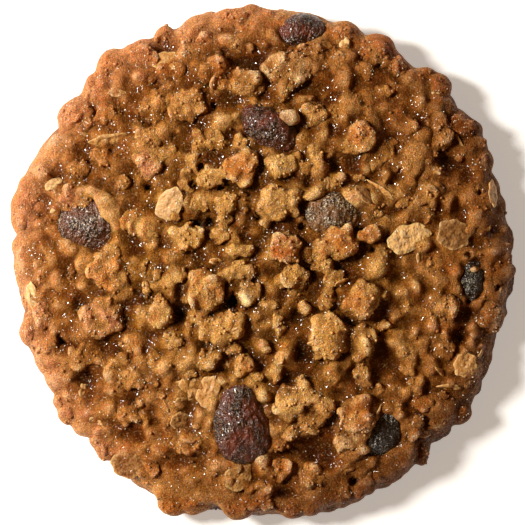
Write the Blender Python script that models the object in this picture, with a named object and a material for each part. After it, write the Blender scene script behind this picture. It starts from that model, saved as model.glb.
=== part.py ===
# Oatmeal raisin cookie: a domed, lumpy disc of baked dough with whole raisins set into its top.
# Metres, +Z up. The origin is the middle of the flat base that the cookie rests on.

import math
import random

import bmesh
import bpy
from mathutils import Matrix, Vector, noise

MM = 0.001

# The baked disc
HALF_WIDTH = 45.1 * MM          # along X, before the edge's lobes
HALF_LENGTH = 45.8 * MM         # along Y, before the edge's lobes
CENTRE_HEIGHT = 11.4 * MM       # of the dome between the clumps
SHOULDER_HEIGHT = 7.2 * MM      # where the dome meets the rounded edge
GRID_CELLS = 41                 # across the dome, about 2 mm each

# Cross-section of the edge, from the shoulder down to the base: share of the radius, height
EDGE_PROFILE = [
    (0.955, 6.5 * MM),
    (0.985, 5.2 * MM),
    (1.0, 3.6 * MM),
    (0.994, 1.8 * MM),
    (0.975, 0.6 * MM),
    (0.955, 0.0),
]
SHOULDER_SHARE = 0.905          # of the radius, where the dome ends
DOME_POWER = 2.4                # how late the dome falls away towards the shoulder
EDGE_ROUGHNESS = 0.6 * MM       # small unevenness of the edge
EDGE_GRAIN = 4.5 * MM           # and its size along the edge

# Lobes of the uneven edge: direction in degrees, how far it stands out, half its spread in degrees
EDGE_LOBES = [
    (14, -0.5 * MM, 9),
    (48, 0.9 * MM, 5),
    (97, 1.0 * MM, 5),
    (125, 1.6 * MM, 5),
    (160, 0.7 * MM, 9),
    (186, -0.6 * MM, 5),
    (209, -1.4 * MM, 5),
    (250, 2.3 * MM, 7),
    (264, 0.8 * MM, 4),
    (292, 0.9 * MM, 14),
    (325, 0.6 * MM, 4),
    (342, -0.5 * MM, 4),
]

# Clumps of coated oats on the dome: x, y, radius and rise, all in millimetres
CLUMPS_MM = [
    # far side
    (-21.5, 36.5, 4.4, 2.0),
    (-12.5, 37.5, 4.2, 2.4),
    (-4.0, 42.0, 3.6, 1.6),
    (-8.5, 31.5, 4.0, 2.2),
    (-17.0, 28.5, 5.0, 3.0),
    (-27.5, 26.0, 4.2, 2.2),
    (5.5, 34.5, 5.2, 2.8),
    (14.5, 36.5, 4.0, 2.2),
    (21.0, 37.0, 3.8, 1.8),
    (17.3, 22.3, 4.6, 3.0),
    (29.0, 29.5, 4.6, 1.6),
    # middle
    (-20.0, 18.5, 4.6, 2.4),
    (-12.5, 16.0, 4.0, 3.2),
    (-3.8, 18.0, 4.2, 3.4),
    (-6.8, 8.5, 4.6, 3.2),
    (-13.3, 4.5, 3.8, 2.6),
    (3.3, 16.0, 4.6, 3.2),
    (3.2, 9.5, 4.4, 3.4),
    (13.5, 2.0, 4.6, 3.2),
    (4.5, 2.0, 3.8, 3.0),
    (29.0, 14.0, 4.4, 2.4),
    (38.0, 12.0, 4.0, 1.6),
    (26.0, 5.0, 4.6, 1.6),
    # left and near side
    (-27.3, -2.0, 4.4, 2.6),
    (-28.5, -10.5, 4.8, 2.4),
    (-18.5, -6.5, 4.2, 2.8),
    (-10.8, -6.0, 4.4, 3.2),
    (-3.2, -4.5, 3.8, 3.4),
    (-7.0, -12.5, 4.4, 3.0),
    (-19.3, -18.0, 4.2, 2.4),
    (-33.0, -18.5, 4.2, 1.6),
    (-9.5, -19.0, 4.0, 2.4),
    (-24.0, -35.5, 4.4, 1.6),
    (-13.5, -31.0, 4.0, 2.0),
    (-9.0, -38.5, 4.4, 1.8),
    (4.7, -25.0, 3.8, 2.6),
    # right and near side
    (11.5, -12.5, 4.8, 3.4),
    (6.0, -3.5, 3.6, 2.6),
    (17.6, -7.0, 4.4, 3.4),
    (18.0, -17.5, 4.0, 2.6),
    (32.0, -9.0, 4.6, 2.6),
    (31.5, -16.0, 4.2, 2.2),
    (29.0, -24.5, 4.2, 1.8),
    (10.0, -38.0, 4.2, 2.2),
    (14.5, -31.0, 3.6, 2.4),
    (26.0, -32.0, 4.0, 1.6),
]

# Small clumps between them, scattered from a fixed seed
FILLER_SEED = 31
FILLER_COUNT = 110
FILLER_REACH = 41.0 * MM
FILLER_RADIUS = (1.9 * MM, 3.2 * MM)
FILLER_RISE = (0.5 * MM, 1.5 * MM)

# Raisins, in millimetres and degrees: x, y, half sizes, turn
RAISINS = {
    "raisin_front": ((-3.7, -28.3), (5.2, 7.6, 3.0), -6),
    "raisin_left": ((-31.0, 7.0), (5.9, 4.9, 2.9), -12),
    "raisin_upper": ((1.2, 23.8), (6.0, 4.0, 3.0), -33),
    "raisin_top_edge": ((6.8, 41.2), (4.6, 3.1, 2.4), 8),
    "raisin_middle": ((12.5, 9.0), (6.2, 4.5, 3.0), -8),
    "raisin_right": ((37.3, -3.0), (2.9, 4.4, 2.5), 4),
    "raisin_lower_right": ((20.6, -30.2), (4.9, 4.5, 2.8), 30),
}
RAISIN_SINK = 0.7 * MM          # of a raisin's middle below the dome
WRINKLE_DEPTH = 0.32 * MM
WRINKLE_SPACING = 2.6 * MM
POCKET_GAP = 0.35 * MM          # between a raisin and the dough round it
CLEAR_MARGIN = 1.6 * MM         # clumps stop this far short of a raisin
RAISIN_FACETS = 0.24            # share of the facets kept on a raisin
POCKET_FACETS = 0.2             # and on its pocket

DOUGH_COLOUR = (0.34, 0.13, 0.035, 1.0)
DOUGH_ROUGHNESS = 0.75
RAISIN_COLOUR = (0.022, 0.008, 0.006, 1.0)
RAISIN_ROUGHNESS = 0.4


def clear_scene():
    for item in list(bpy.context.scene.objects):
        bpy.data.objects.remove(item, do_unlink=True)


def make_material(name, colour, roughness):
    material = bpy.data.materials.new(name)
    material.use_nodes = True
    shader = material.node_tree.nodes["Principled BSDF"]
    shader.inputs["Base Color"].default_value = colour
    shader.inputs["Roughness"].default_value = roughness
    shader.inputs["Metallic"].default_value = 0.0
    return material


def add_object(name, bm, material):
    mesh = bpy.data.meshes.new(name)
    bm.to_mesh(mesh)
    bm.free()
    mesh.shade_smooth()
    mesh.materials.append(material)
    item = bpy.data.objects.new(name, mesh)
    bpy.context.scene.collection.objects.link(item)
    return item


def smooth_step(low, high, value):
    share = min(max((value - low) / (high - low), 0.0), 1.0)
    return share * share * (3.0 - 2.0 * share)


def edge_radius(angle):
    """Radius of the cookie's outer edge in one direction."""
    cos_part = math.cos(angle) / HALF_WIDTH
    sin_part = math.sin(angle) / HALF_LENGTH
    radius = 1.0 / math.hypot(cos_part, sin_part)
    for direction, bulge, spread in EDGE_LOBES:
        turn = math.degrees(angle) - direction
        turn = (turn + 180.0) % 360.0 - 180.0
        radius += bulge * math.exp(-(turn / spread) ** 2)
    return radius


def raisin_clearance(x, y):
    """0 over a raisin, rising to 1 where clumps may stand at full height."""
    clear = 1.0
    for (cx, cy), (half_x, half_y, _), turn in RAISINS.values():
        spot = Matrix.Rotation(-math.radians(turn), 2) @ Vector((x - cx * MM, y - cy * MM))
        reach_x = half_x * MM + CLEAR_MARGIN
        reach_y = half_y * MM + CLEAR_MARGIN
        clear = min(clear, smooth_step(0.7, 1.1, math.hypot(spot.x / reach_x, spot.y / reach_y)))
    return clear


def scattered_clumps():
    """Small clumps at even-handed random places inside the shoulder."""
    chance = random.Random(FILLER_SEED)
    clumps = []
    for _ in range(FILLER_COUNT):
        angle = chance.uniform(0.0, 2.0 * math.pi)
        reach = FILLER_REACH * math.sqrt(chance.random())
        radius = chance.uniform(*FILLER_RADIUS)
        rise = chance.uniform(*FILLER_RISE)
        clumps.append((reach * math.cos(angle), reach * math.sin(angle), radius, rise))
    return clumps


def clump_rise(x, y, clumps):
    """Height that the tallest clump over this place adds to the dome."""
    tallest = 0.0
    for cx, cy, radius, rise in clumps:
        share = math.hypot(x - cx, y - cy) / radius
        if share < 1.0:
            tallest = max(tallest, rise * math.sqrt(1.0 - share * share))
    return tallest


def dome_height(share):
    """Height of the smooth dome at a share of the edge's radius."""
    fall = min(share / SHOULDER_SHARE, 1.0) ** DOME_POWER
    return CENTRE_HEIGHT + (SHOULDER_HEIGHT - CENTRE_HEIGHT) * fall


def place_on_disc(direction, share, height):
    """Point at a share of the way from the middle to the uneven edge."""
    radius = edge_radius(math.atan2(direction.y, direction.x))
    point = direction * radius
    radius += EDGE_ROUGHNESS * noise.noise(Vector((point.x, point.y, height)) / EDGE_GRAIN)
    return Vector((direction.x * radius * share, direction.y * radius * share, height))


def lay_dome(bm):
    """Bend a square grid into the round top of the disc, with no pole in its middle."""
    bmesh.ops.create_grid(bm, x_segments=GRID_CELLS, y_segments=GRID_CELLS, size=1.0)
    for vert in bm.verts:
        x, y = vert.co.x, vert.co.y
        if abs(x) > abs(y):
            reach, angle = x, math.pi / 4 * y / x
        else:
            reach, angle = y, math.pi / 2 - (math.pi / 4 * x / y if y else 0.0)
        direction = Vector((math.cos(angle), math.sin(angle), 0.0))
        direction *= -1.0 if reach < 0.0 else 1.0
        share = abs(reach) * SHOULDER_SHARE
        vert.co = place_on_disc(direction, share, dome_height(share))


def turn_down_edge(bm):
    """Extrude the rim of the dome down its rounded side, then close the flat base."""
    for share, height in EDGE_PROFILE:
        rim = [edge for edge in bm.edges if edge.is_boundary]
        made = bmesh.ops.extrude_edge_only(bm, edges=rim)["geom"]
        for vert in made:
            if isinstance(vert, bmesh.types.BMVert):
                direction = Vector((vert.co.x, vert.co.y, 0.0)).normalized()
                vert.co = place_on_disc(direction, share, height)
    rim = [edge for edge in bm.edges if edge.is_boundary]
    bmesh.ops.contextual_create(bm, geom=rim)
    bmesh.ops.recalc_face_normals(bm, faces=bm.faces)


def make_dough(material):
    bm = bmesh.new()
    lay_dome(bm)
    turn_down_edge(bm)
    clumps = [(x * MM, y * MM, radius * MM, rise * MM) for x, y, radius, rise in CLUMPS_MM]
    clumps += scattered_clumps()
    for vert in bm.verts:
        on_top = smooth_step(EDGE_PROFILE[2][1], EDGE_PROFILE[0][1], vert.co.z)
        rise = clump_rise(vert.co.x, vert.co.y, clumps)
        vert.co.z += rise * on_top * raisin_clearance(vert.co.x, vert.co.y)
    bmesh.ops.triangulate(bm, faces=bm.faces)
    return add_object("dough", bm, material)


def raisin_shape(half_sizes, growth):
    """A flattened, wrinkled berry, grown outwards by a few tenths of a millimetre."""
    bm = bmesh.new()
    bmesh.ops.create_icosphere(bm, subdivisions=4, radius=1.0)
    half_x, half_y, half_z = (size * MM for size in half_sizes)
    for vert in bm.verts:
        skin = Vector((vert.co.x * half_x, vert.co.y * half_y, vert.co.z * half_z))
        outward = Vector((vert.co.x / half_x, vert.co.y / half_y, vert.co.z / half_z)).normalized()
        ripple = noise.noise(skin / WRINKLE_SPACING + Vector(half_sizes))
        vert.co = skin + outward * (growth - WRINKLE_DEPTH * abs(ripple) * 2.0)
    return bm


def thin_out(item, share):
    """Reduce a raisin's facets, which are finer than its wrinkles need."""
    modifier = item.modifiers.new("Decimate", "DECIMATE")
    modifier.ratio = share


def raisin_placement(place, turn):
    """Turned about the vertical, with its middle a little below the dome."""
    x, y = (value * MM for value in place)
    share = math.hypot(x, y) / edge_radius(math.atan2(y, x))
    middle = Vector((x, y, dome_height(share) - RAISIN_SINK))
    return Matrix.Translation(middle) @ Matrix.Rotation(math.radians(turn), 4, "Z")


def make_raisin(name, place, half_sizes, turn, material):
    raisin = add_object(name, raisin_shape(half_sizes, 0.0), material)
    raisin.matrix_world = raisin_placement(place, turn)
    thin_out(raisin, RAISIN_FACETS)


def cut_pocket(dough, name, place, half_sizes, turn, material):
    """Hollow the dough out round one raisin, leaving a thin gap to it."""
    bm = raisin_shape(half_sizes, POCKET_GAP + WRINKLE_DEPTH / 2)
    cutter = add_object(name + "_pocket", bm, material)
    cutter.matrix_world = raisin_placement(place, turn)
    thin_out(cutter, POCKET_FACETS)
    cutter.hide_render = True
    cutter.display_type = "WIRE"
    modifier = dough.modifiers.new(name + "_pocket", "BOOLEAN")
    modifier.operation = "DIFFERENCE"
    modifier.solver = "EXACT"
    modifier.object = cutter


def main():
    clear_scene()
    dough = make_dough(make_material("baked_dough", DOUGH_COLOUR, DOUGH_ROUGHNESS))
    skin = make_material("raisin_skin", RAISIN_COLOUR, RAISIN_ROUGHNESS)
    for name, (place, half_sizes, turn) in RAISINS.items():
        make_raisin(name, place, half_sizes, turn, skin)
        cut_pocket(dough, name, place, half_sizes, turn, skin)


main()
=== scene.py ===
# Oatmeal raisin cookie, baked golden to brown, seen from straight above
import math
import random
import time
from functools import partial

import bmesh
import bpy
import numpy as np
from mathutils import Euler, Matrix, Vector, noise
from mathutils.bvhtree import BVHTree


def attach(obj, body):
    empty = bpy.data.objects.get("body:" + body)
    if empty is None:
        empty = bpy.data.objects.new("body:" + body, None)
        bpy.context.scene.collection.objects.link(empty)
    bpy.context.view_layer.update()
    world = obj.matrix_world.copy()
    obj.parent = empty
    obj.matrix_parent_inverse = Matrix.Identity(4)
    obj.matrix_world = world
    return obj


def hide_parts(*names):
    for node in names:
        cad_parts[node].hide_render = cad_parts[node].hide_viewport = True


startTime = time.time()
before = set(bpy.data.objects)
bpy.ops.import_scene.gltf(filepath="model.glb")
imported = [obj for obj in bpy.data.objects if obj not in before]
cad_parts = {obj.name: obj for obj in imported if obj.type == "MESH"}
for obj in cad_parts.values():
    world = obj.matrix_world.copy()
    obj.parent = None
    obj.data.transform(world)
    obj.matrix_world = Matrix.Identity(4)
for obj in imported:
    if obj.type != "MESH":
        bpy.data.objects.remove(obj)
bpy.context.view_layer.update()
mm = 0.001   # pieces are modelled in millimetres and made metres at the end
fullTurn = 2 * math.pi


def linear(hexColour):
    # sRGB hex to linear RGBA
    parts = [int(hexColour[i:i + 2], 16) / 255 for i in (1, 3, 5)]
    return [c / 12.92 if c <= 0.04045 else ((c + 0.055) / 1.055) ** 2.4 for c in parts] + [1.0]


def smoothStep(low, high, value):
    share = np.clip((value - low) / (high - low), 0, 1)
    return share * share * (3 - 2 * share)


# the dome that everything sits on: a flat base, a rounded edge and a low crown
dome = {
    "centre": 11.4,           # height of the crown's middle
    "shoulder": 7.2,          # height where the rounded edge starts
    "shoulderShare": 0.905,   # how far out that is, as a share of the rim's radius
    "power": 2.4,             # how flat the crown's middle is
    # section of the edge: share of the rim's radius, height
    "edge": [(0.955, 6.5), (0.985, 5.2), (1.0, 3.6), (0.994, 1.8), (0.975, 0.6), (0.955, 0.0)],
    "bins": 120,              # directions in which the rim's radius is measured
}


def measureEdge():
    # how far the dough reaches in each direction, from the frame's own solid
    points = np.array([v.co[:2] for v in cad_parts["dough"].data.vertices]) / mm
    turns = (np.degrees(np.arctan2(points[:, 1], points[:, 0])) % 360) / 360 * dome["bins"]
    reach = np.zeros(dome["bins"])
    np.maximum.at(reach, turns.astype(int) % dome["bins"], np.hypot(points[:, 0], points[:, 1]))
    return reach


edgeReach = measureEdge()


def rimRadius(angle):
    turn = np.asarray(angle) / fullTurn * dome["bins"] - 0.5
    return np.interp(turn % dome["bins"], np.arange(dome["bins"] + 1), np.append(edgeReach, edgeReach[0]))


def rimAt(x, y):
    return float(rimRadius(math.atan2(y, x)))


def crownHeight(share):
    fall = np.minimum(share / dome["shoulderShare"], 1) ** dome["power"]
    return dome["centre"] + (dome["shoulder"] - dome["centre"]) * fall


def domeHeight(x, y):
    share = np.hypot(x, y) / rimRadius(np.arctan2(y, x))
    shares = [dome["shoulderShare"]] + [s for s, _ in dome["edge"][:3]]
    heights = [dome["shoulder"]] + [h for _, h in dome["edge"][:3]]
    outside = share > dome["shoulderShare"]
    return float(np.where(outside, np.interp(share, shares, heights), crownHeight(share)))


def randomSpot(chance, most):
    # an even spread over the dome, out to a share of its area
    angle = chance.uniform(0, fullTurn)
    reach = float(rimRadius(angle)) * math.sqrt(chance.uniform(0, most))
    return reach * math.cos(angle), reach * math.sin(angle)


def meshFrom(name, bm):
    mesh = bpy.data.meshes.new(name)
    bm.to_mesh(mesh)
    bm.free()
    return mesh


def pieceFrom(name, bm):
    piece = bpy.data.objects.new(name, meshFrom(name, bm))
    bpy.context.scene.collection.objects.link(piece)
    return piece


def fuse(name, bm, style):
    # overlapping blobs become one closed skin
    piece = pieceFrom(name, bm)
    remesh = piece.modifiers.new("Fuse", "REMESH")
    remesh.mode = "VOXEL"
    remesh.voxel_size = style["voxel"]
    soften = piece.modifiers.new("Soften", "SMOOTH")
    soften.iterations = style["smooths"]
    fused = bpy.data.meshes.new_from_object(piece.evaluated_get(bpy.context.evaluated_depsgraph_get()))
    piece.modifiers.clear()
    piece.data = fused
    piece.data.name = name
    return piece


def readMesh(mesh):
    places = np.empty(len(mesh.vertices) * 3, dtype=np.float32)
    normals = np.empty_like(places)
    mesh.vertices.foreach_get("co", places)
    mesh.vertices.foreach_get("normal", normals)
    return places.reshape(-1, 3).astype(float), normals.reshape(-1, 3).astype(float)


def writeMesh(mesh, places):
    mesh.vertices.foreach_set("co", places.astype(np.float32).ravel())
    mesh.update()


def noiseField(places, size, seed):
    # one value for each place, about -1 to 1, with features of that size in mm
    shift = Vector((seed * 7.31, seed * 3.17, seed * 5.53))
    return np.array([noise.noise(Vector(p) + shift) for p in places / size]) * 2


def writeAttribute(mesh, name, values):
    if values.ndim == 1:
        layer = mesh.attributes.new(name, "FLOAT", "POINT")
        layer.data.foreach_set("value", values.astype(np.float32))
        return
    layer = mesh.attributes.new(name, "FLOAT_COLOR", "POINT")
    layer.data.foreach_set("color", np.c_[values, np.ones(len(values))].astype(np.float32).ravel())


def ballMesh(subdivisions):
    bm = bmesh.new()
    bmesh.ops.create_icosphere(bm, subdivisions=subdivisions, radius=1)
    return meshFrom("ball", bm)


balls = {number: ballMesh(number) for number in (1, 3, 4)}   # made once and copied for every blob


def addBlob(bm, place, halfSizes, turn=(0, 0, 0), subdivisions=3):
    ball = balls[subdivisions].copy()
    ball.transform(Matrix.LocRotScale(Vector(place), Euler(turn), Vector(halfSizes)))
    bm.from_mesh(ball)
    bpy.data.meshes.remove(ball)


def randomTilt(chance, most):
    return chance.uniform(-most, most), chance.uniform(-most, most), chance.uniform(0, 3.1)


def finishPiece(piece, material, slot, *nodes):
    # millimetres to metres, then onto the body
    piece.data.transform(Matrix.Scale(mm, 4))
    piece.data.shade_smooth()
    piece.data.materials.clear()
    piece.data.materials.append(material)
    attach(piece, "root")
    if nodes:
        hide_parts(*nodes)
    print(piece.name, len(piece.data.polygons), "faces")


# raisins: places, half sizes and turns as in the frame, how far they are sunk into the dough
raisins = {
    "raisin_front": {
        "place": (-3.7, -28.3), "half": (5.3, 7.7, 3.2), "turn": 9, "sink": 0.5, "taper": 0.24, "skin": "front",
    },
    "raisin_left": {"place": (-31.0, 7.2), "half": (5.8, 5.2, 2.9), "turn": -12, "sink": 1.0, "skin": "dustAndHighlight"},
    "raisin_upper": {"place": (1.2, 23.8), "half": (6.0, 3.9, 3.0), "turn": -33, "sink": 0.6, "skin": "front"},
    "raisin_top_edge": {"place": (6.8, 41.4), "half": (4.6, 3.2, 2.4), "turn": 8, "sink": 0.4, "skin": "front"},
    "raisin_middle": {"place": (12.5, 9.0), "half": (6.1, 4.4, 3.0), "turn": -8, "sink": 0.8, "skin": "glazeAndGlints"},
    "raisin_right": {"place": (37.3, -3.0), "half": (2.8, 4.2, 2.5), "turn": 4, "sink": 1.0, "skin": "black"},
    "raisin_lower_right": {
        "place": (20.4, -30.6), "half": (4.9, 4.6, 2.8), "turn": 30, "sink": 1.0, "skin": "black",
    },
}


def overRaisin(x, y, margin):
    # whether a raisin lies under this place
    for one in raisins.values():
        spot = Vector((x - one["place"][0], y - one["place"][1]))
        spot.rotate(Matrix.Rotation(-math.radians(one["turn"]), 2))
        if math.hypot(spot.x / (one["half"][0] + margin), spot.y / (one["half"][1] + margin)) < 1:
            return True
    return False


# how the clumps' tops are toasted
tones = {
    "gold": "#C08C4A",
    "yellow": "#D2A260",
    "tan": "#A8763C",
    "olive": "#9A6E32",
    "orange": "#B87434",
    "red": "#A8602A",
    "pink": "#C2865C",
    "brown": "#6A3A18",
    "cream": "#F4D8A4",
    "amber": "#D28C48",
    "bright": "#CC9450",
}

# toasted clumps: x, y, half sizes along x and y, tone, and the turn of a slanting one
clumpRows = [
    # far rim and far side
    (-34, 27, 3, 3, "red"), (-27.5, 26.5, 2.5, 2.3, "orange"), (-21.5, 37, 3, 2.5, "orange"),
    (-21.7, 39.2, 1.5, 1.5, "red"), (-18, 41, 1.5, 1.5, "orange"), (-12.5, 37, 3, 2.5, "tan"),
    (-9.5, 39.2, 2.8, 2.5, "red"), (-7.6, 41, 1, 1, "red"), (-5, 44, 2.5, 2, "orange"),
    (-2.5, 44.8, 1.7, 1.4, "orange"), (-3, 41.5, 2, 2, "orange"), (-4.5, 38.7, 2.5, 2, "gold"),
    (-13.3, 41, 1.8, 1, "pink"), (-8.5, 34.5, 4, 2.5, "orange"), (-7.5, 31.5, 2, 2, "orange"),
    (-21, 33.2, 2.5, 1.7, "red"), (-16.8, 34, 2.5, 2.2, "orange"), (-2.7, 31.8, 3.3, 3, "olive"),
    (-16.5, 31.3, 2, 1.3, "orange"), (-11.5, 31.5, 1, 1, "pink"), (-13.5, 28, 3.5, 3.2, "bright"),
    (-18.5, 29, 3, 2, "orange"), (-20, 27.5, 2.5, 2.2, "orange"), (-19, 25.5, 2.2, 1, "tan"),
    (7.7, 37.2, 4.5, 2, "tan"), (14.5, 40.5, 2.6, 2, "orange"), (20.5, 38, 3, 2.8, "red"),
    (14.3, 36, 3, 2, "red"), (11, 35.5, 1.5, 1.4, "orange"), (13.5, 34.7, 1.7, 1.5, "orange"),
    (4.5, 34, 4.5, 3.5, "cream"), (18.5, 34.3, 2.2, 1.7, "orange"), (17, 29, 1.2, 1.2, "tan"),
    (9.3, 26, 2.7, 2.2, "gold"), (17.8, 27, 2.3, 1.2, "tan"), (28.3, 34, 2, 1.5, "orange"),
    (31.8, 32, 2, 2, "red"), (31, 25.5, 2, 2, "orange"), (36, 24.6, 2.4, 2.6, "red"),
    (6.5, 43, 3.5, 1.5, "orange"), (4, 41.5, 1.2, 1.2, "orange"), (1, 43.6, 2, 1.4, "orange"),
    (3.2, 25.2, 2, 1.8, "brown"), (-0.8, 26.9, 1, 1, "orange"), (25.2, 36, 2.2, 2, "red"),
    (10.2, 42.3, 1.8, 1.1, "red", -20), (-27, 35.5, 2.4, 1.8, "orange", 50), (-30.5, 31.5, 2.2, 1.8, "red", 50),
    # upper middle
    (-42, 9, 2.5, 3.5, "pink"), (-43, 13.3, 1, 1.6, "pink"), (-32.5, 16.5, 2.3, 1.8, "orange"),
    (-36.8, 6.5, 1, 2, "orange"), (-35.5, 2.3, 1, 1, "orange"), (-28, 19, 1.5, 1.8, "orange"),
    (-33, 11.7, 3.3, 3, "pink"), (-20.5, 22, 3.5, 2, "pink"), (-20, 18, 2.5, 3, "pink"),
    (-23.3, 7, 2.2, 2, "orange"), (-25, 14, 1.5, 1.5, "gold"), (-11.3, 20.5, 1.5, 1.4, "gold"),
    (-12.5, 18, 1.5, 1.6, "gold"), (-13, 16.5, 1.4, 1.4, "gold"), (-13.7, 14.5, 1.3, 1.4, "gold"),
    (-13.5, 12.6, 1.3, 1.3, "gold"), (-9.5, 14.8, 2.4, 2, "gold"), (-9.2, 21, 1.5, 1.2, "gold"),
    (-4.2, 21, 1.8, 1.7, "yellow"), (-4, 17, 3.2, 2.8, "orange"), (-11.8, 10.3, 2, 1.5, "gold"),
    (-6.5, 10.5, 2.3, 1.9, "gold"), (-6.8, 7.5, 1.4, 1.4, "gold"), (-8, 5, 1.8, 1.5, "gold"),
    (-3.6, 11.6, 0.9, 1.2, "gold"), (-3.2, 9.6, 0.9, 1.3, "gold"), (-13.3, 4.5, 3.7, 2.3, "gold"),
    (-19.5, 5, 1.5, 1.2, "tan"), (-4.3, 2.2, 3.2, 1.5, "gold", 5), (3.3, 17.3, 3.3, 2.3, "yellow"),
    (6, 19, 1.5, 1, "gold"), (2.8, 11, 4, 3, "gold"), (0.5, 7.5, 1.5, 1.3, "gold"), (9.7, 18, 1.3, 3, "gold"),
    (17.3, 22.3, 3.5, 2.8, "orange"), (21.8, 21.3, 0.9, 0.9, "gold"), (17, 15, 1.7, 0.8, "tan"),
    (13.5, 3.5, 3.5, 2.8, "orange"), (19, 5.2, 3, 1.6, "orange", 20), (10.5, 2.3, 2, 2.3, "orange"),
    (4, 2.7, 3, 2.7, "red"), (29.5, 12.3, 2.3, 2.1, "gold"), (28.5, 16.3, 3.5, 2, "orange"),
    (25, 18, 1.8, 1.6, "tan"), (32, 22, 2, 2.5, "red"), (35.2, 18.8, 1, 0.7, "orange"),
    (38.8, 17.5, 1.7, 2, "orange"), (38.5, 12.5, 1.6, 1.7, "orange"), (38.7, 9.5, 1.6, 1.7, "orange"),
    (39, 6.3, 1.6, 1.7, "orange"), (41, 1.5, 1.5, 2, "orange"),
    # lower middle
    (-27.3, -1.5, 3.3, 4, "amber"), (-31.3, -3.5, 1.2, 1.5, "orange"), (-39.6, -2.5, 1.2, 2.3, "pink"),
    (-37.2, -3, 0.8, 1.8, "pink"), (-28.5, -10, 4, 3.5, "pink"), (-32.5, -17, 3, 2.2, "olive"),
    (-37.3, -20.5, 1.3, 2, "pink"), (-21, -1, 1, 2, "tan"), (-20.5, -5, 1, 2, "tan"), (-21.3, -9, 1, 2, "tan"),
    (-18.8, -2, 1, 1.7, "tan"), (-15, -2.2, 1.8, 1.5, "tan"), (-18, -9, 2.2, 3.3, "orange"),
    (-10.3, -5, 3.2, 3.6, "orange"), (-11.5, -9.5, 2, 1.8, "tan"), (-2.8, -6, 1.7, 3.4, "cream"),
    (-3.5, -1.5, 3, 1.7, "gold"), (-6.3, -11.7, 3.8, 2.9, "bright"), (-15.7, -14, 1.8, 1.8, "tan"),
    (-9.5, -17, 3.5, 1.6, "tan", 25), (-19.3, -18.5, 1.4, 4.5, "pink"), (-3.5, -18, 1.8, 2.2, "gold"),
    (-1, -20.5, 1.2, 1.2, "gold"), (-16, -19.3, 1, 0.8, "gold"), (5.8, -2.5, 2.3, 2.2, "gold"),
    (5.5, -5.5, 1.5, 1, "gold"), (11, -0.5, 2, 1.6, "gold"), (12.5, -3.2, 2.2, 1.2, "gold"),
    (11.5, -5.2, 1.5, 1, "tan"), (12.3, -6.8, 1.7, 0.8, "tan"), (17.5, -6.8, 3, 3.5, "orange"),
    (21.5, -11.3, 2.2, 0.9, "orange"), (11.5, -12.7, 3.5, 3.7, "bright"), (10.7, -15.8, 1.6, 1.5, "yellow"),
    (2.7, -11, 1.3, 2.8, "olive"), (2.3, -19.5, 1.2, 2.7, "gold"), (6.7, -21.3, 1, 1.5, "gold"),
    (17.7, -13.5, 2.2, 3.3, "yellow"), (17.8, -20, 1.8, 3, "tan"), (41.6, -2.5, 1.6, 3, "orange"),
    (40.3, -9.3, 2.3, 2.7, "orange"), (33, -7.5, 2.2, 2.2, "orange"), (32, -10.8, 2.2, 1.9, "orange"),
    (32, -15, 2.5, 2.2, "gold"), (25.5, -16, 1.8, 2, "olive"), (28.5, -24.7, 2.3, 1.7, "orange"),
    (32, -24, 1.5, 1.2, "orange"), (-24, -21, 2.4, 2, "orange", 20), (-42, -12.5, 1.4, 1.6, "pink"),
    (-39.5, -9.5, 1.8, 2.6, "pink", 10), (-23.5, -14.5, 2.2, 1.7, "orange"),
    # near side and near rim
    (-34.8, -27, 1.3, 1.3, "pink"), (-36.5, -25, 0.8, 0.8, "pink"), (-13.3, -32, 2.5, 2.3, "orange"),
    (-11.5, -29, 1.2, 1.2, "gold"), (-9, -36, 1.4, 4, "orange"), (-19.5, -36.5, 1.5, 2, "orange"),
    (-12.5, -43.3, 1.7, 1, "orange"), (-16.5, -44, 2, 1.6, "orange"), (-4.5, -43.7, 2.3, 1.7, "red"),
    (4.7, -25.5, 2.8, 3, "yellow"), (8.5, -28, 2.9, 2.5, "gold"), (7.5, -23.4, 2.6, 2.2, "yellow"),
    (10.6, -25.3, 2, 2.2, "gold"), (5.2, -30, 2.2, 1.7, "gold"), (17, -27.5, 3.5, 3.2, "orange"),
    (15.5, -31.5, 3, 2.3, "cream"), (16.6, -33.6, 1.2, 1.1, "cream"), (3, -37, 2, 2, "orange"),
    (8.7, -38, 2.3, 2.5, "gold"), (15.5, -36.7, 1.8, 1.3, "gold"), (18.6, -38.5, 1.5, 2.3, "orange"),
    (14, -41.3, 2.5, 1.5, "orange"), (12, -41, 0.9, 0.9, "gold"), (8.5, -43.5, 1.7, 1.3, "orange"),
    (24.5, -35, 1.7, 2, "orange"), (27, -29.5, 2.5, 2, "orange"), (30.5, -28.5, 0.9, 0.9, "orange"),
    (35.5, -27, 1.8, 1.5, "orange"), (29.5, -34.5, 1.2, 2, "orange"), (-28.5, -33, 2.4, 2, "pink", 40),
    (0, -42.5, 2, 1.6, "red"), (5.5, -44, 1.6, 1.4, "red"), (-24, -27, 2.4, 2, "orange"),
    (-17.5, -24.5, 2, 1.8, "orange"), (-22.4, -20.3, 2.4, 2.2, "yellow"),
]

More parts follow.
